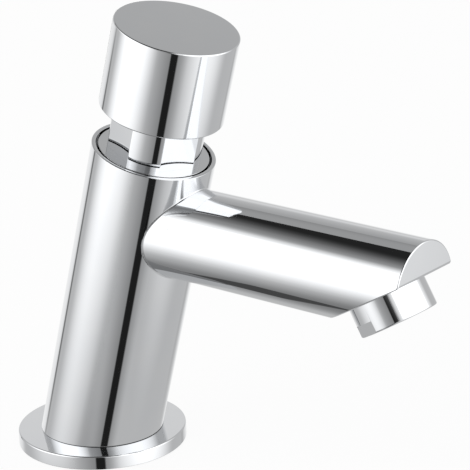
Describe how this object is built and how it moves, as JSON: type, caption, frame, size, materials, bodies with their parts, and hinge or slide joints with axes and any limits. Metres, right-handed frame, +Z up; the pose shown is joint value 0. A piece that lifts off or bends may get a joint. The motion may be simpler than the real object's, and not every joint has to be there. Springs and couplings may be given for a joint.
{
  "type": "self-closing push tap",
  "caption": "Deck-mounted self-closing push tap: leaning round column with a push button on a flatted neck, straight round spout cut on the slant, round flange and threaded shank.",
  "frame": {"origin": "on the deck, at the axis of the threaded shank, level with the underside of the flange", "axes": "+Z up from the deck, +X from the shank towards the outlet, +Y to the left of someone behind the tap looking along +X"},
  "size_m": [0.1607, 0.0564, 0.2076],
  "materials": {
    "chrome": "polished chrome plate",
    "brass": "machined brass",
    "steel": "bright stainless steel",
    "rubber": "black moulded rubber",
    "white_plastic": "white acetal",
    "grey_plastic": "grey acetal"
  },
  "bodies": {
    "tap": {"body": "chrome", "base_flange": "chrome", "base_gasket": "rubber", "inlet_shank": "brass", "clamp_gasket": "rubber", "clamp_washer": "steel", "back_nut": "brass", "flow_limiter": "white_plastic", "inlet_strainer": "steel", "neck_collar": "chrome", "collar_oring": "rubber", "stem_bush": "white_plastic", "stem_oring": "rubber", "bush_clip": "steel", "cartridge_housing": "brass", "seat_gasket": "rubber", "return_spring": "steel", "aerator_housing": "chrome", "aerator_gasket": "rubber", "aerator_insert": "white_plastic", "outlet_grid": "grey_plastic"},
    "plunger": {"push_button": "chrome", "button_hub": "grey_plastic", "hub_pin": "steel", "stem": "steel", "piston": "white_plastic", "lip_seal": "rubber", "piston_washer": "steel", "valve_washer": "rubber", "valve_cup": "brass", "valve_nut": "brass"}
  },
  "joints": [
    {"name": "button_push", "type": "slide", "parent": "tap", "child": "plunger", "axis": [-0.2756, 0, -0.9613], "range_m": [0, 0.01], "stiffness_N_per_m": 600, "springref_m": -0.012, "deforming": ["return_spring"]}
  ]
}
